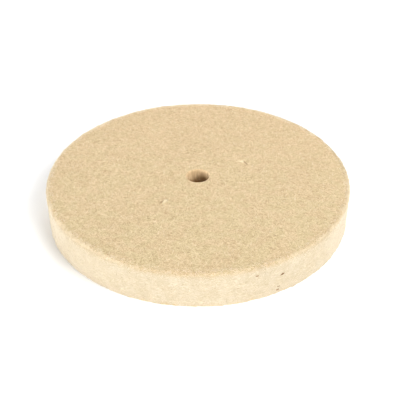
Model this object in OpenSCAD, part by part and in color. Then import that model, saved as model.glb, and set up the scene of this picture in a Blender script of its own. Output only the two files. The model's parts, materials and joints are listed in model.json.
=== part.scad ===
// Hard felt polishing wheel: one disc of pressed wool felt with a plain arbor bore.
// It lies on its lower face, with +Z up along the bore. The origin is the centre of the
// bore on the lower face. Millimetres.

/* [Wheel] */
// Diameter over the polishing rim, 8 in
wheel_d = 203.2; // [100:0.1:305]
// Thickness from face to face, 1 in
wheel_t = 25.4; // [10:0.1:50]

/* [Bore] */
// Diameter of the bore that slips over the spindle, 5/8 in
bore_d = 15.875; // [6:0.005:32]

/* [Edges] */
// Radius of the rim's two edges, softened when the cut disc is dressed
rim_edge_r = 0.8; // [0.2:0.1:4]
// Radius of the bore's two mouths, softened by the punch
bore_edge_r = 0.5; // [0.2:0.1:3]

/* [Hidden] */

rim_r = wheel_d / 2;
bore_r = bore_d / 2;
// Facets that a preview draws round the wheel, and round one edge's circle
round_wheel = 180;
round_edge = 48;

// Rectangle from (x0, z0) to (x1, z1).
module band(x0, z0, x1, z1) {
    translate([x0, z0])
        square([x1 - x0, z1 - z0]);
}

// The two edges at radius x, each a full circle tangent to the face and to the wall.
module edge_pair(x, r) {
    for (z = [r, wheel_t - r])
        translate([x, z])
            circle(r, $fn = round_edge);
}

// Section on the right of the axis: a flat-faced middle between two walls, whose
// corners are true arcs.
module wheel_section() {
    bore_side = bore_r + bore_edge_r;
    rim_side = rim_r - rim_edge_r;
    band(bore_side, 0, rim_side, wheel_t);
    band(bore_r, bore_edge_r, bore_side, wheel_t - bore_edge_r);
    band(rim_side, rim_edge_r, rim_r, wheel_t - rim_edge_r);
    edge_pair(bore_side, bore_edge_r);
    edge_pair(rim_side, rim_edge_r);
}

module felt_disc() {
    color([0.90, 0.80, 0.64])
        rotate_extrude($fn = round_wheel)
            wheel_section();
}

felt_disc();
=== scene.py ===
import itertools
import json
import math

import bpy
import numpy as np
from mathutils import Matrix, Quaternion, Vector


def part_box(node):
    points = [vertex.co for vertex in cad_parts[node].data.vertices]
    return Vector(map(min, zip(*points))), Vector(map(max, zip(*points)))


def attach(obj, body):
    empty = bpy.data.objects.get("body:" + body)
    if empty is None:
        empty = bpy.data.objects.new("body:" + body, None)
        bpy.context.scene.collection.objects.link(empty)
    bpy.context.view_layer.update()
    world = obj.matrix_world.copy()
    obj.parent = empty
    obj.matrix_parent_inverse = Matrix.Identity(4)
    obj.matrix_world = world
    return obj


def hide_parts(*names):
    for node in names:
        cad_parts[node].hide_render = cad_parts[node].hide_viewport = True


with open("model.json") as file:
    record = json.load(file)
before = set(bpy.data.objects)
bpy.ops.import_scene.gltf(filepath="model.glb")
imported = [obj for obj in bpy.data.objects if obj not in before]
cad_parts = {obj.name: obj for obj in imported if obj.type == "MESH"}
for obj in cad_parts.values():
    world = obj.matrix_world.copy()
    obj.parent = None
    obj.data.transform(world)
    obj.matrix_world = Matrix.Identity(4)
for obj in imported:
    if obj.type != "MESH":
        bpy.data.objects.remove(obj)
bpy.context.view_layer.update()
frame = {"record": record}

# The wheel's sizes, from the CAD node and its bore, in metres.
MM = 0.001
NODE = "felt_disc"
mounts = {mount["name"]: mount for mount in frame["record"]["mounts"]}
bore_dims = mounts["arbor_bore"]["dims"]
high_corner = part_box(NODE)[1]
RIM_R = high_corner.x
THICK = high_corner.z
BORE_R = bore_dims["r_mm"] * MM
BORE_EDGE_R = (THICK - bore_dims["length_mm"] * MM) / 2
# The lower rim edge is as it was dressed. Wear has rounded the upper one further.
RIM_EDGE_R = 0.8 * MM
WORN_EDGE_R = 2.0 * MM


# ---------------------------------------------------------------- noise and skin


class SmoothNoise:
    """Seeded value noise from -1 to 1, with lumps about as wide as size."""

    CELLS = 64

    def __init__(self, seed, size):
        self.table = np.random.default_rng(seed).uniform(-1, 1, (self.CELLS,) * 3)
        self.size = size

    def __call__(self, points):
        scaled = points / self.size
        cell = np.floor(scaled).astype(int)
        blend = scaled - cell
        blend = blend * blend * (3 - 2 * blend)
        total = 0
        for corner in itertools.product((0, 1), repeat=3):
            weight = np.prod(np.where(corner, blend, 1 - blend), axis=-1)
            index = (cell + corner) % self.CELLS
            total = total + weight * self.table[index[..., 0], index[..., 1], index[..., 2]]
        return total


def wheel_profile(steps):
    """The wheel's closed half section, counter-clockwise from the lower bore edge.

    Rows of (distance along the section, radius, height, direction of the outward normal).
    steps is how many of them lie round each edge.
    """
    corners = (
        (BORE_R + BORE_EDGE_R, BORE_EDGE_R, BORE_EDGE_R, math.pi),
        (RIM_R - RIM_EDGE_R, RIM_EDGE_R, RIM_EDGE_R, 1.5 * math.pi),
        (RIM_R - WORN_EDGE_R, THICK - WORN_EDGE_R, WORN_EDGE_R, 2 * math.pi),
        (BORE_R + BORE_EDGE_R, THICK - BORE_EDGE_R, BORE_EDGE_R, 2.5 * math.pi),
    )
    rows = []
    for radius, height, edge_r, start in corners:
        for turn in np.linspace(start, start + math.pi / 2, steps):
            rows.append((radius + edge_r * math.cos(turn), height + edge_r * math.sin(turn), turn))
    rows.append((rows[0][0], rows[0][1], 3 * math.pi))
    rows = np.array(rows)
    along = np.concatenate(([0], np.cumsum(np.hypot(*np.diff(rows[:, :2], axis=0).T))))
    return np.column_stack((along, rows))


EDGE_STEPS = 12
PROFILE = wheel_profile(EDGE_STEPS)
PROFILE_LENGTH = PROFILE[-1, 0]
# Where each stretch of the section starts and ends, as distances along it.
LOWER_FACE = (PROFILE[EDGE_STEPS - 1, 0], PROFILE[EDGE_STEPS, 0])
RIM_WALL = (PROFILE[2 * EDGE_STEPS - 1, 0], PROFILE[2 * EDGE_STEPS, 0])
UPPER_FACE = (PROFILE[3 * EDGE_STEPS - 1, 0], PROFILE[3 * EDGE_STEPS, 0])
BORE_WALL = (PROFILE[4 * EDGE_STEPS - 1, 0], PROFILE_LENGTH)
LOWER_EDGE = (LOWER_FACE[1], RIM_WALL[0])
UPPER_EDGE = (RIM_WALL[1], UPPER_FACE[0])
UPPER_MOUTH = (UPPER_FACE[1], BORE_WALL[0])
LOWER_MOUTH = (0.0, LOWER_FACE[0])


def section_at(along):
    """Radius, height and normal direction at a distance along the section."""
    along = np.mod(along, PROFILE_LENGTH)
    return (np.interp(along, PROFILE[:, 0], PROFILE[:, column]) for column in (1, 2, 3))


def on_skin(angle, along, lift=0.0):
    """The point that stands lift above the wheel's skin, at an angle round the axis."""
    radius, height, turn = section_at(along)
    radius = radius + lift * np.cos(turn)
    height = height + lift * np.sin(turn)
    return np.stack((radius * np.cos(angle), radius * np.sin(angle), height), axis=-1)


CLUMPS = SmoothNoise(11, 5.5 * MM)
LUMPS = SmoothNoise(12, 2.4 * MM)
GRAIN = SmoothNoise(13, 1.2 * MM)
EDGE_WOBBLE = SmoothNoise(14, 7 * MM)
EDGE_NICKS = SmoothNoise(15, 2.2 * MM)
# How far from the middle of an edge its wear has faded to about a third.
EDGE_REACH = 1.4 * MM


def closeness(along, edge):
    """1 in the middle of an edge's arc, and almost 0 at twice EDGE_REACH from it."""
    return np.exp(-(((along - 0.5 * (edge[0] + edge[1])) / EDGE_REACH) ** 2))


def plateau(along, stretch, ramp):
    """1 over a stretch of the section, falling to 0 at its ends over a ramp."""
    return np.clip(np.minimum(along - stretch[0], stretch[1] - along) / ramp, 0, 1)


def relief(angle, along):
    """How far the pressed felt lies below (-) or above (+) the nominal skin."""
    points = on_skin(angle, along)
    along = np.mod(along, PROFILE_LENGTH)
    # All these heights are in millimetres, up to the last line.
    felting = 0.11 * CLUMPS(points) + 0.08 * LUMPS(points) + 0.05 * GRAIN(points)
    # The upper edge is worn, most on the -Y side, and the lower edge has spread a little.
    nicks = EDGE_NICKS(points)
    upper_wear = 0.12 + 0.27 * np.sin(angle) + 0.22 * EDGE_WOBBLE(points) + 0.16 * nicks
    lower_spread = 0.22 + 0.26 * nicks
    edges = closeness(along, UPPER_EDGE) * upper_wear + closeness(along, LOWER_EDGE) * lower_spread
    # Between its borders, the lower face is a little hollow, so that its lumps and fibres
    # clear what the wheel lies on. The cut fibres of the bore swell inwards.
    hollow = 0.35 * plateau(along, LOWER_FACE, 3 * MM)
    swell = 0.40 * plateau(along, (UPPER_MOUTH[0], PROFILE_LENGTH), 1 * MM)
    return MM * (felting + edges - hollow + swell)


# ---------------------------------------------------------------- meshes


def add_piece(name, points, faces, material):
    """A smooth-shaded mesh piece of the wheel, which stands for the CAD disc."""
    points = np.array(points).reshape(-1, 3)
    points[:, 2] = np.maximum(points[:, 2], 0)
    mesh = bpy.data.meshes.new(name)
    mesh.from_pydata(points.tolist(), [], faces)
    mesh.validate()
    mesh.shade_smooth()
    mesh.materials.append(material)
    piece = bpy.data.objects.new(name, mesh)
    bpy.context.scene.collection.objects.link(piece)
    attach(piece, "root")
    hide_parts(NODE)


def ring_stations():
    """(distance along the section, spacing round the ring) of every ring of the felt body."""
    # Each stretch with its spacing across the rings and round them, in millimetres.
    stretches = (
        (LOWER_FACE, 1.30, 1.30),
        (LOWER_EDGE, 0.55, 0.80),
        (RIM_WALL, 0.90, 0.90),
        (UPPER_EDGE, 0.60, 0.80),
        (UPPER_FACE, 0.90, 0.90),
        (UPPER_MOUTH, 0.40, 0.60),
        (BORE_WALL, 0.60, 0.60),
        (LOWER_MOUTH, 0.40, 0.60),
    )
    stations = []
    for (start, end), across, spacing in stretches:
        row_gap = across * MM * math.sin(math.pi / 3)
        count = max(2, round((end - start) / row_gap))
        for step in range(count):
            stations.append((start + (end - start) * step / count, spacing * MM))
    return stations


def zip_rings(inner, outer):
    """Triangles between two rings, each given as (first index, angles in rising order)."""
    triangles = []
    (first_a, angles_a), (first_b, angles_b) = inner, outer
    count_a, count_b = len(angles_a), len(angles_b)
    turn = 2 * math.pi
    i = j = 0
    while i < count_a or j < count_b:
        next_a = angles_a[(i + 1) % count_a] + turn * ((i + 1) // count_a)
        next_b = angles_b[(j + 1) % count_b] + turn * ((j + 1) // count_b)
        a, b = first_a + i % count_a, first_b + j % count_b
        if j >= count_b or (i < count_a and next_a < next_b):
            triangles.append((a, first_a + (i + 1) % count_a, b))
            i += 1
        else:
            triangles.append((a, first_b + (j + 1) % count_b, b))
            j += 1
    return triangles


# How far a point of a ring strays from its place, as a share of the pitch round the ring.
JITTER = 0.2


def make_felt_body(material):
    """The pressed disc itself: one closed skin of triangles, finest at the bore's mouths."""
    rng = np.random.default_rng(21)
    rings, points = [], []
    for along, spacing in ring_stations():
        radius = float(np.interp(along, PROFILE[:, 0], PROFILE[:, 1]))
        count = round(2 * math.pi * radius / spacing)
        pitch = 2 * math.pi / count
        angles = pitch * (np.arange(count) + rng.uniform() + rng.uniform(-JITTER, JITTER, count))
        alongs = np.full(count, along)
        rings.append((len(points), angles))
        points.extend(on_skin(angles, alongs, relief(angles, alongs)))
    faces = []
    for ring, following in zip(rings, rings[1:] + rings[:1]):
        faces.extend(zip_rings(ring, following))
    add_piece("felt_body", points, faces, material)


# A strand's points along its length and the corners of its section, in degrees.
STRAND_STEPS = 6
STRAND_CORNERS = (90, 210, 330)
# How fast the direction of a curly strand turns, and that of a combed one, in radians per
# metre, and how much of this the turning changes at each step.
CURLY = 240
COMBED = 50
CURL_CHANGE = 0.4
# A strand's height over its width, from one that stands free to one pressed into the skin.
FREE = 0.8
HALF_PRESSED = 0.6
MATTED = 0.5
PRESSED = 0.45
# The width of a strand's tips, as a share of its middle's, and how far its centre line is
# sunk below the relief before any lift, as a share of its height.
TIP_WIDTH = 0.3
SUNK = 0.3


def walk(rng, starts, headings, lengths, curliness):
    """Paths over the skin: from each start, a curling line of a given length."""
    angle, along = (column.copy() for column in starts.T)
    angles, alongs = [angle.copy()], [along.copy()]
    heading = headings.copy()
    stride = lengths / (STRAND_STEPS - 1)
    curl = rng.normal(0, curliness, len(starts))
    for _ in range(STRAND_STEPS - 1):
        radius, _height, _turn = section_at(along)
        angle += stride * np.cos(heading) / radius
        along += stride * np.sin(heading)
        heading += curl * stride
        curl += rng.normal(0, CURL_CHANGE * curliness, len(starts))
        angles.append(angle.copy())
        alongs.append(along.copy())
    return np.stack(angles, axis=1), np.stack(alongs, axis=1)


def strand_faces(count):
    """Faces of count closed strands: two end caps each, and quads between their rings."""
    corners = len(STRAND_CORNERS)
    faces = []
    for strand in range(count):
        first = strand * corners * STRAND_STEPS
        last = first + corners * (STRAND_STEPS - 1)
        faces.append(tuple(range(first, first + corners)))
        faces.append(tuple(reversed(range(last, last + corners))))
        for ring in range(first, last, corners):
            for k in range(corners):
                k2 = (k + 1) % corners
                faces.append((ring + k, ring + corners + k, ring + corners + k2, ring + k2))
    return faces


def make_fibres(name, material, seed, starts, headings, *, length, width, lift,
                flatness=FREE, curliness=CURLY):
    """Fibre strands that lie along the relief, with most of each end sunk below it.

    The felt body's facets follow the relief only roughly. About one strand in six has an end
    that stands clear of them, by up to 0.3 mm, and about one in seventy touches them nowhere.
    starts are rows of (angle, distance along the section), and each heading is measured from
    the direction round the wheel. length, width and lift are (least, most) in millimetres.
    """
    rng = np.random.default_rng(seed)
    count = len(starts)
    lengths = MM * rng.uniform(*length, count)
    angles, alongs = walk(rng, starts, headings, lengths, curliness)
    # A strand is widest and stands highest in its middle, and both fall off late.
    middle = np.sin(math.pi * np.linspace(0, 1, STRAND_STEPS))
    taper = TIP_WIDTH + (1 - TIP_WIDTH) * middle ** 0.7
    widths = MM * rng.uniform(*width, count)[:, None] * taper
    lifts = MM * rng.uniform(*lift, count)[:, None] * middle ** 0.6
    ground = relief(angles, alongs) + lifts - SUNK * flatness * widths
    centre = on_skin(angles, alongs, ground)
    normal = (on_skin(angles, alongs, ground + MM) - centre) / MM
    side = np.cross(np.gradient(centre, axis=1), normal)
    side /= np.linalg.norm(side, axis=-1, keepdims=True)
    corners = []
    for turn in np.radians(STRAND_CORNERS):
        offset = side * 0.5 * math.cos(turn) + normal * 0.5 * flatness * math.sin(turn)
        corners.append(centre + widths[..., None] * offset)
    add_piece(name, np.stack(corners, axis=2), strand_faces(count), material)


def scatter(seed, count, stretch, margin=0.0):
    """Random starts, even by area, on one stretch of the section."""
    rng = np.random.default_rng(seed)
    trial = rng.uniform(stretch[0] + margin, stretch[1] - margin, 4 * count)
    radius, _height, _turn = section_at(trial)
    kept = trial[rng.uniform(0, radius.max(), len(trial)) < radius][:count]
    return np.column_stack((rng.uniform(0, 2 * math.pi, len(kept)), kept))


def any_way(seed, starts, spread):
    """Random headings for the starts, within spread of the direction round the wheel."""
    rng = np.random.default_rng(seed)
    return rng.uniform(-spread, spread, len(starts)) + math.pi * rng.integers(0, 2, len(starts))


def cover(name, material, seeds, count, stretch, margin=0.0, spread=math.pi, **shape):
    """Fibres that start all over a stretch of the section, but not within margin of its ends.

    seeds are those of the places, of the headings and of the strands, and shape is what
    make_fibres takes.
    """
    place_seed, heading_seed, strand_seed = seeds
    starts = scatter(place_seed, count, stretch, margin)
    headings = any_way(heading_seed, starts, spread)
    make_fibres(name, material, strand_seed, starts, headings, **shape)


def on_upper_face(x, y, bearing):
    """(angle, distance along the section, heading) at a point of the upper face.

    x and y are in millimetres, and bearing is in degrees from +X.
    """
    angle = math.atan2(y, x)
    along = UPPER_FACE[0] + RIM_R - WORN_EDGE_R - math.hypot(x, y) * MM
    return angle, along, math.radians(bearing) - angle - math.pi / 2


def on_rim(azimuth, height, slope):
    """(angle, distance along the section, heading) at a point of the rim wall.

    azimuth is in degrees from +X, height in millimetres, and slope in degrees, rising to the
    right.
    """
    return math.radians(azimuth), RIM_WALL[0] + height * MM - RIM_EDGE_R, math.radians(slope)


def bunches(seed, places, count, reach, spread):
    """Starts and headings of count strands bunched at each (angle, along, heading) place.

    reach is how far they stray from the place, and spread how far from its heading.
    """
    rng = np.random.default_rng(seed)
    rows = np.repeat(np.array(places), count, axis=0)
    radius, _height, _turn = section_at(rows[:, 1])
    strays = rng.normal(0, reach, (len(rows), 2))
    strays[:, 0] /= radius
    return rows[:, :2] + strays, rows[:, 2] + rng.normal(0, spread, len(rows))


# ---------------------------------------------------------------- materials


# Ranges that hold most values of a noise and of the fibre pattern.
NOISE_RANGE = (0.3, 0.7)
FIBRE_RANGE = (0.36, 0.60)
# How far a pattern bends across the pressed layers, as a share of how far it does along
# them, and a streak's height over its width.
BEND_RISE = 0.3
STREAK_HEIGHT = 0.625
# The fibre pattern's streaks: angle in degrees, length and width.
PALE_STREAKS = ((12, 3.2 * MM, 0.8 * MM), (103, 2.6 * MM, 0.7 * MM))
DARK_STREAKS = ((57, 3.0 * MM, 0.8 * MM), (148, 2.6 * MM, 0.7 * MM))
# Where the stretch on the left starts, and where it is in full, along X. There the rim and its upper
# edge are painted paler, as painted light.
LEFT_LIGHT_STRETCH = (-0.25 * RIM_R, -0.65 * RIM_R)


class Nodes:
    """Short calls for building the node tree of a material or the world."""

    def __init__(self, owner):
        owner.use_nodes = True
        self.tree = owner.node_tree

    def feed(self, node, inputs):
        """Gives each of the node's inputs that is named or numbered here its value or link."""
        for key, value in inputs.items():
            if isinstance(value, bpy.types.NodeSocket):
                self.tree.links.new(value, node.inputs[key])
            else:
                node.inputs[key].default_value = value

    def shade(self, inputs):
        """Feeds the material's shader."""
        self.feed(self.tree.nodes["Principled BSDF"], inputs)

    def add(self, kind, inputs=None, **settings):
        """A new node with these settings and inputs."""
        node = self.tree.nodes.new(kind)
        for key, value in settings.items():
            setattr(node, key, value)
        self.feed(node, inputs or {})
        return node

    def vector_maths(self, operation, first, second=(0, 0, 0), output="Vector"):
        """The result of a vector operation on one or two vectors."""
        node = self.add("ShaderNodeVectorMath", {0: first, 1: second}, operation=operation)
        return node.outputs[output]

    def position(self, stretch=(1, 1, 1)):
        """Place on the object, with each axis scaled by its share of stretch."""
        place = self.add("ShaderNodeTexCoord").outputs["Object"]
        return self.vector_maths("MULTIPLY", place, stretch)

    def noise(self, place, size, detail, output="Fac"):
        """Noise with features about as wide as size; from about 0 to 1."""
        settings = {"Vector": place, "Scale": 1 / size, "Detail": detail}
        return self.add("ShaderNodeTexNoise", settings).outputs[output]

    def bend(self, place, size, reach):
        """Place pushed about by up to half of reach, so that straight streaks curve."""
        push = self.noise(place, size, 1.0, output="Color")
        centred = self.vector_maths("SUBTRACT", push, (0.5, 0.5, 0.5))
        scaled = self.vector_maths("MULTIPLY", centred, (reach, reach, BEND_RISE * reach))
        return self.vector_maths("ADD", place, scaled)

    def streaks(self, place, angle, length, width):
        """Soft streaks at one angle in the pressed layers; from about 0 to 1."""
        settings = {"Vector": place, "Angle": math.radians(angle)}
        turned = self.add("ShaderNodeVectorRotate", settings, rotation_type="Z_AXIS")
        stretch = (1 / length, 1 / width, 1 / (STREAK_HEIGHT * width))
        squeezed = self.vector_maths("MULTIPLY", turned.outputs["Vector"], stretch)
        return self.noise(squeezed, 1.0, 1.0)

    def remap(self, value, low, high, to_low=0.0, to_high=1.0, kind="SMOOTHSTEP"):
        """Takes low to to_low and high to to_high, and holds these beyond them."""
        settings = {"Value": value, "From Min": low, "From Max": high,
                    "To Min": to_low, "To Max": to_high}
        return self.add("ShaderNodeMapRange", settings, interpolation_type=kind).outputs["Result"]

    def mix(self, amount, first, second):
        """A colour between first and second, by amount."""
        settings = {"Factor": amount, 6: first, 7: second}
        return self.add("ShaderNodeMix", settings, data_type="RGBA").outputs[2]

    def maths(self, operation, first, second=0.0):
        """The result of an operation on one or two numbers."""
        return self.add("ShaderNodeMath", {0: first, 1: second}, operation=operation).outputs["Value"]

    def total(self, first, *others):
        """The sum of all of them."""
        for other in others:
            first = self.maths("ADD", first, other)
        return first


def srgb(red, green, blue):
    """A shader colour from 8-bit screen values."""
    linear = []
    for value in (red, green, blue):
        value /= 255
        linear.append(value / 12.92 if value <= 0.04045 else ((value + 0.055) / 1.055) ** 2.4)
    return (*linear, 1.0)


def fibre_pattern(nodes, place, grain):
    """Pressed fibres as crossed pale and dark streaks over the grain; from about 0 to 1."""
    bent = nodes.bend(place, 6 * MM, 5 * MM)
    light = nodes.maths("MAXIMUM", *(nodes.streaks(bent, *streak) for streak in PALE_STREAKS))
    dark = nodes.maths("MINIMUM", *(nodes.streaks(bent, *streak) for streak in DARK_STREAKS))
    streaks = nodes.maths("MULTIPLY", nodes.total(light, dark), 0.5)
    return nodes.total(nodes.maths("MULTIPLY", streaks, 0.65), nodes.maths("MULTIPLY", grain, 0.35))


def face_colour(nodes, place, fibre, y):
    """Tan of the faces: it drifts between a warmer and a greener hue, and is rosier at +Y."""
    tone = nodes.remap(fibre, *FIBRE_RANGE, kind="LINEAR")
    warm = nodes.mix(tone, srgb(162, 134, 98), srgb(214, 193, 155))
    green = nodes.mix(tone, srgb(159, 135, 97), srgb(212, 194, 154))
    rosy = nodes.mix(tone, srgb(165, 131, 94), srgb(217, 190, 151))
    hue = nodes.noise(place, 7 * MM, 0.0)
    face = nodes.mix(nodes.remap(hue, 0.40, 0.60), warm, green)
    rearward = nodes.remap(y, -0.5 * RIM_R, 0.9 * RIM_R, 0.0, 0.5, kind="LINEAR")
    return nodes.mix(rearward, face, rosy)


def painted_edge_highlight(nodes, x, y):
    """How much painted highlight the upper edge gets: all round but for a stretch at the front."""
    # On the left stretch the upper edge is painted paler, as painted light.
    left = nodes.remap(x, *LEFT_LIGHT_STRETCH)
    right = nodes.remap(x, 0.35 * RIM_R, 0.75 * RIM_R, 0.0, 0.7)
    front = nodes.remap(y, -0.20 * RIM_R, -0.60 * RIM_R)
    rear = nodes.remap(y, 0.0, 0.60 * RIM_R)
    # At the sides the edge gets a painted sheen, as the rim does.
    sides = nodes.remap(nodes.maths("ABSOLUTE", x), 0.80 * RIM_R, 0.97 * RIM_R, 0.0, 0.9)
    corners = nodes.maths("MULTIPLY", nodes.total(left, right), front)
    return nodes.maths("MAXIMUM", nodes.total(corners, rear), sides)


def rim_colour(nodes, place, fibre, x, height, edge_highlight):
    """Paler cream of the cut rim: blotched, painted paler at its sides by a painted sheen, on its
    left by painted light, and along its upper edge by a painted highlight.
    """
    tone = nodes.remap(fibre, 0.32, 0.66, kind="LINEAR")
    upper = nodes.mix(tone, srgb(166, 148, 118), srgb(204, 187, 158))
    lower = nodes.mix(tone, srgb(166, 152, 128), srgb(202, 190, 168))
    rim = nodes.mix(nodes.remap(height, THICK - 6 * MM, THICK), lower, upper)
    blotches = nodes.remap(nodes.noise(place, 6 * MM, 1.0), 0.35, 0.65, 0.0, 0.22)
    rim = nodes.mix(blotches, rim, srgb(160, 142, 108))
    # Painted sheen: the rim is painted paler and whiter towards both ends along X.
    side = nodes.remap(nodes.maths("ABSOLUTE", x), 0.75 * RIM_R, RIM_R, 0.0, 0.40)
    rim = nodes.mix(side, rim, srgb(220, 209, 194))
    # Painted light: the rim is painted paler on its left, as if lit more from that side.
    left = nodes.remap(x, *LEFT_LIGHT_STRETCH, 0.0, 0.10)
    rim = nodes.mix(left, rim, srgb(228, 212, 186))
    edge = nodes.mix(tone, srgb(173, 154, 121), srgb(214, 196, 163))
    # Painted highlight: the top of the rim is painted paler, towards cream, by the edge highlight.
    edge = nodes.mix(nodes.maths("MULTIPLY", edge_highlight, 0.36), edge, srgb(246, 232, 204))
    return nodes.mix(nodes.remap(height, THICK - 2.2 * MM, THICK - 0.8 * MM), rim, edge)


def rim_share(nodes, place, fibre, radius, height, edge_highlight):
    """Where the rim's colour shows: it runs over both edges on to the faces, in a frayed line."""
    depth = nodes.maths("MINIMUM", nodes.maths("SUBTRACT", THICK, height), height)
    wander = nodes.remap(nodes.noise(place, 5 * MM, 3.0), *NOISE_RANGE, -1.3 * MM, 1.3 * MM)
    fray = nodes.remap(fibre, *FIBRE_RANGE, -0.9 * MM, 0.9 * MM, kind="LINEAR")
    # Painted highlight: where the upper edge has it, the rim's paler colour is painted further on to
    # the face.
    spill = nodes.remap(edge_highlight, 0, 1, -1.5 * MM, 0.6 * MM, kind="LINEAR")
    reach = nodes.total(radius, depth, wander, fray, spill)
    return nodes.remap(reach, RIM_R - 2.7 * MM, RIM_R + 0.7 * MM)


def bore_colour(nodes, x, height):
    """Felt of the bore, streaked by the cut, with painted shade that makes it browner and darker with
    depth, and painted light that makes it paler towards +X.
    """
    # Painted shade: darker and browner with depth in the bore.
    depth = nodes.remap(height, THICK - 11 * MM, THICK - 5 * MM)
    bore = nodes.mix(depth, srgb(146, 101, 46), srgb(207, 179, 139))
    # Painted light: paler towards +X, as if that side of the bore were lit.
    bore = nodes.mix(nodes.remap(x, -0.3 * BORE_R, BORE_R, 0.0, 0.45), bore, srgb(232, 204, 164))
    cut = nodes.noise(nodes.position((1, 1, 0.12)), 0.9 * MM, 1.0)
    return nodes.mix(nodes.remap(cut, 0.35, 0.65, 0.30, 0.0), bore, srgb(132, 98, 62))


def felt_material():
    """Pressed wool felt: tan faces, a paler cut rim, fibre streaks, mottle and fine relief, with
    painted light along the rim and upper edge and painted shade in the bore.
    """
    material = bpy.data.materials.new("pressed_wool_felt")
    nodes = Nodes(material)
    place = nodes.position()
    radius = nodes.vector_maths("LENGTH", nodes.position((1, 1, 0)), output="Value")
    x, y, height = nodes.add("ShaderNodeSeparateXYZ", {"Vector": place}).outputs
    grain = nodes.noise(place, 0.55 * MM, 1.0)
    fibre = fibre_pattern(nodes, place, grain)

    # Painted highlight along the upper edge, which pales the rim's top and spreads its colour on to
    # the face.
    edge_highlight = painted_edge_highlight(nodes, x, y)
    rim = rim_colour(nodes, place, fibre, x, height, edge_highlight)
    share = rim_share(nodes, place, fibre, radius, height, edge_highlight)
    colour = nodes.mix(share, face_colour(nodes, place, fibre, y), rim)
    patches = nodes.remap(nodes.noise(place, 16 * MM, 2.0), *NOISE_RANGE, 0.0, 0.12)
    colour = nodes.mix(patches, colour, srgb(170, 144, 104))
    # The bore's colour, with its painted shade and painted light.
    in_bore = nodes.remap(radius, BORE_R + 0.8 * MM, BORE_R + 0.2 * MM)
    colour = nodes.mix(in_bore, colour, bore_colour(nodes, x, height))

    bump = nodes.add("ShaderNodeBump", {"Height": fibre, "Strength": 1.0, "Distance": 0.35 * MM})
    nodes.shade({
        "Base Color": colour,
        "Roughness": nodes.remap(grain, 0.2, 0.8, 0.86, 1.0),
        "Normal": bump.outputs["Normal"],
        "Specular IOR Level": 0.15,
        "Sheen Weight": 0.3,
        "Sheen Roughness": 0.5,
        "Sheen Tint": srgb(255, 244, 222),
    })
    return material


def fibre_material(name, dark, light):
    """Loose wool fibres, each a slightly different tone."""
    material = bpy.data.materials.new(name)
    nodes = Nodes(material)
    tone = nodes.noise(nodes.position(), 2.5 * MM, 2.0)
    nodes.shade({
        "Base Color": nodes.mix(nodes.remap(tone, *NOISE_RANGE), dark, light),
        "Roughness": nodes.remap(tone, 0.2, 0.8, 0.75, 0.95),
        "Specular IOR Level": 0.2,
        "Sheen Weight": 0.25,
        "Sheen Roughness": 0.5,
    })
    return material


def floor_material():
    """White paper with the faintest cloudiness."""
    material = bpy.data.materials.new("white_paper_floor")
    nodes = Nodes(material)
    tone = nodes.remap(nodes.noise(nodes.position(), 60 * MM, 3.0), 0.2, 0.8)
    nodes.shade({
        "Base Color": nodes.mix(tone, srgb(249, 249, 249), srgb(252, 252, 252)),
        "Roughness": 0.9,
        "Specular IOR Level": 0.1,
    })
    return material


# ---------------------------------------------------------------- studio

# The table top's radius and the distance of the lights, in metres.
FLOOR_R = 0.8
FLOOR_SIDES = 128
LIGHT_DISTANCE = 2.5
# The white sweep reaches up to one elevation, in degrees, and fades into the dark ceiling
# by the other. The ceiling's light is a share of the sweep's.
SWEEP_TOP = 16
CEILING_START = 26
CEILING_LIGHT = 0.03


def make_floor():
    """A plain round table top, which ends where the white sweep takes over."""
    rim = []
    for turn in np.linspace(0, 2 * math.pi, FLOOR_SIDES, endpoint=False):
        rim.append((FLOOR_R * math.cos(turn), FLOOR_R * math.sin(turn), 0))
    mesh = bpy.data.meshes.new("studio_floor")
    mesh.from_pydata(rim, [], [tuple(range(FLOOR_SIDES))])
    mesh.materials.append(floor_material())
    floor = bpy.data.objects.new("studio_floor", mesh)
    bpy.context.scene.collection.objects.link(floor)


def make_camera():
    """Looks along +Y and down at the wheel's upper face, from arm's length."""
    elevation = math.radians(33.69)
    distance = 532.7 * MM
    aim = Vector((1.2 * MM, -28.32 * MM, THICK))
    roll = math.radians(-0.23)
    data = bpy.data.cameras.new("camera")
    data.sensor_width = 36.0
    data.lens = 70.78
    data.clip_start = 0.01
    data.clip_end = 50.0
    camera = bpy.data.objects.new("camera", data)
    back, up = distance * math.cos(elevation), distance * math.sin(elevation)
    camera.location = Vector((0, -back, THICK + up))
    camera.rotation_mode = "QUATERNION"
    look = (aim - camera.location).to_track_quat("-Z", "Y")
    camera.rotation_quaternion = look @ Quaternion((0, 0, 1), roll)
    bpy.context.scene.collection.objects.link(camera)
    bpy.context.scene.camera = camera


def area_light(name, azimuth, elevation, watts, size=1.2, colour=(1, 1, 1)):
    """A square softbox that faces the wheel. Azimuth 0 is the camera's side, 90 the right."""
    turn, rise = math.radians(azimuth), math.radians(elevation)
    level = math.cos(rise)
    direction = Vector((math.sin(turn) * level, -math.cos(turn) * level, math.sin(rise)))
    data = bpy.data.lights.new(name, "AREA")
    data.shape = "SQUARE"
    data.size = size
    data.energy = watts
    data.color = colour
    light = bpy.data.objects.new(name, data)
    light.location = direction * LIGHT_DISTANCE
    light.rotation_mode = "QUATERNION"
    light.rotation_quaternion = direction.to_track_quat("Z", "Y")
    bpy.context.scene.collection.objects.link(light)


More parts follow.
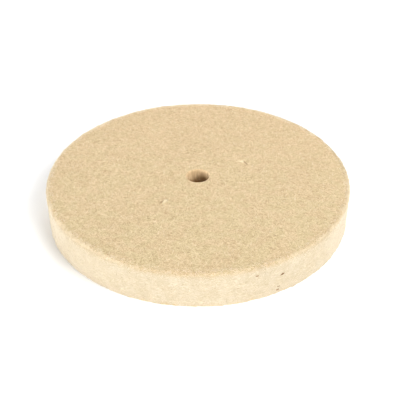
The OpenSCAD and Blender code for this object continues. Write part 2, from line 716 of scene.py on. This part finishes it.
def make_world():
    """A white sweep all round the table, under a dark ceiling."""
    world = bpy.data.worlds.new("studio_sweep")
    nodes = Nodes(world)
    direction = nodes.add("ShaderNodeTexCoord").outputs["Generated"]
    rise = nodes.add("ShaderNodeSeparateXYZ", {"Vector": direction}).outputs["Z"]
    top, start = math.sin(math.radians(SWEEP_TOP)), math.sin(math.radians(CEILING_START))
    strength = nodes.remap(rise, top, start, 1.0, CEILING_LIGHT, kind="LINEAR")
    nodes.feed(nodes.tree.nodes["Background"], {"Color": (1, 1, 1, 1), "Strength": strength})
    bpy.context.scene.world = world


def make_studio():
    """Low panels light the rim, and softboxes above them light the face."""
    bpy.context.scene.view_settings.view_transform = "Standard"
    make_world()
    area_light("front_panel", azimuth=-5, elevation=12, watts=10)
    area_light("left_panel", azimuth=-60, elevation=12, watts=55, colour=(0.98, 0.99, 1))
    area_light("left_softbox", azimuth=-60, elevation=25, watts=4)
    area_light("key_softbox", azimuth=53, elevation=36, watts=63.5, size=1.6)
    area_light("key_top_softbox", azimuth=60, elevation=58, watts=17.5)
    area_light("back_softbox", azimuth=180, elevation=58, watts=24)
    make_floor()
    make_camera()


# ---------------------------------------------------------------- build

make_studio()
felt = felt_material()
pale = fibre_material("pale_fibre", srgb(200, 181, 144), srgb(223, 206, 172))
tan = fibre_material("tan_fibre", srgb(134, 109, 73), srgb(178, 152, 114))
cream = fibre_material("cream_fibre", srgb(204, 190, 160), srgb(222, 209, 180))
dull = fibre_material("dull_fibre", srgb(146, 127, 92), srgb(182, 163, 128))
edge = fibre_material("edge_fibre", srgb(202, 182, 144), srgb(224, 205, 170))
fuzz = fibre_material("fuzz_fibre", srgb(222, 208, 180), srgb(240, 229, 208))
# Painted highlight: a paler copy of the pale fibres for the raised tufts, as if they caught more
# light.
painted_highlight = fibre_material("painted_highlight_fibre", srgb(220, 202, 164), srgb(237, 221, 187))
# Painted shade: dark fibres that stand for the shadow beside each tuft.
painted_shade = fibre_material("painted_shade_fibre", srgb(104, 80, 48), srgb(150, 124, 86))
brown = fibre_material("brown_fibre", srgb(100, 66, 36), srgb(140, 104, 64))
make_felt_body(felt)

cover("upper_pale_fibres", pale, (41, 51, 31), 5500, UPPER_FACE, margin=4 * MM,
      length=(2, 6), width=(0.10, 0.34), lift=(0, 0.08), flatness=PRESSED)
cover("upper_tan_fibres", tan, (42, 52, 32), 6000, UPPER_FACE, margin=4 * MM,
      length=(1.5, 5), width=(0.10, 0.34), lift=(0, 0.03), flatness=PRESSED)
cover("lower_pale_fibres", pale, (43, 53, 33), 5500, LOWER_FACE, margin=8 * MM,
      length=(2, 6), width=(0.10, 0.34), lift=(0, 0.06), flatness=PRESSED)
cover("rim_cream_fibres", cream, (44, 54, 34), 3000, RIM_WALL, margin=1.5 * MM, spread=0.7,
      length=(1.5, 4.5), width=(0.10, 0.28), lift=(0, 0.06), flatness=PRESSED)
cover("rim_dull_fibres", dull, (45, 55, 35), 2400, RIM_WALL, margin=1.5 * MM, spread=0.8,
      length=(0.8, 3), width=(0.10, 0.28), lift=(0, 0.04), flatness=PRESSED)
cover("edge_fibres", edge, (47, 57, 37), 2600, UPPER_EDGE, spread=0.7,
      length=(1.2, 3.5), width=(0.08, 0.20), lift=(0.05, 0.50), flatness=HALF_PRESSED)
fuzz_zone = (UPPER_EDGE[0] - 2 * MM, UPPER_EDGE[1] + 2 * MM)
cover("edge_fuzz", fuzz, (63, 65, 64), 4000, fuzz_zone, spread=1.2,
      length=(1.5, 3.5), width=(0.05, 0.09), lift=(0.15, 0.55))
cover("bore_fibres", pale, (46, 56, 36), 300, BORE_WALL, margin=2 * MM,
      length=(1.5, 4), width=(0.08, 0.16), lift=(0, 0.05))

# Two tufts of fibres stand up from the upper face. Dark fibres beside each are painted shade, which
# stands for the shadow in the hollow that it has left.
tufts = (
    on_upper_face(26.8, 17.4, -8),
    on_upper_face(-22.8, -32.7, 62),
    on_upper_face(-22.5, -32.7, 62),
)
shade_spots = (
    on_upper_face(31.0, 18.5, -54),
    on_upper_face(32.2, 16.9, -54),
    on_upper_face(-25.0, -32.6, 62),
)
# The tufts are made of the fibres with the painted highlight.
make_fibres("raised_tufts", painted_highlight, 38, *bunches(58, tufts, 36, 0.30 * MM, 0.12),
            length=(4, 6), width=(0.15, 0.30), lift=(0.3, 0.6), curliness=COMBED)
# The painted shade beside the tufts.
make_fibres("tuft_painted_shade_fibres", painted_shade, 39, *bunches(59, shade_spots, 5, 0.12 * MM, 0.1),
            length=(3.5, 5), width=(0.12, 0.22), lift=(0.05, 0.12), curliness=COMBED)

# Brown hairs are felted in here and there, and a few flecks sit on the rim.
specks = [(*spot, 0.0) for spot in scatter(48, 110, UPPER_FACE, 3 * MM)]
specks += [(*spot, 0.0) for spot in scatter(49, 60, RIM_WALL, 2 * MM)]
flecks = (
    on_rim(-70.8, 18.6, 12),
    on_rim(-61.4, 13.4, 28),
    on_rim(-61.0, 13.9, 28),
    on_rim(-60.9, 13.7, 20),
    on_rim(-62.4, 5.4, 0),
    on_rim(-62.8, 2.6, 0),
)
make_fibres("stray_brown_hairs", brown, 40, *bunches(60, specks, 2, 0.1 * MM, 1.5),
            length=(0.7, 1.6), width=(0.12, 0.28), lift=(0, 0.04), flatness=MATTED)
make_fibres("rim_flecks", brown, 61, *bunches(62, flecks, 8, 0.24 * MM, 0.2),
            length=(1.2, 2.4), width=(0.20, 0.40), lift=(0, 0.10), flatness=HALF_PRESSED)
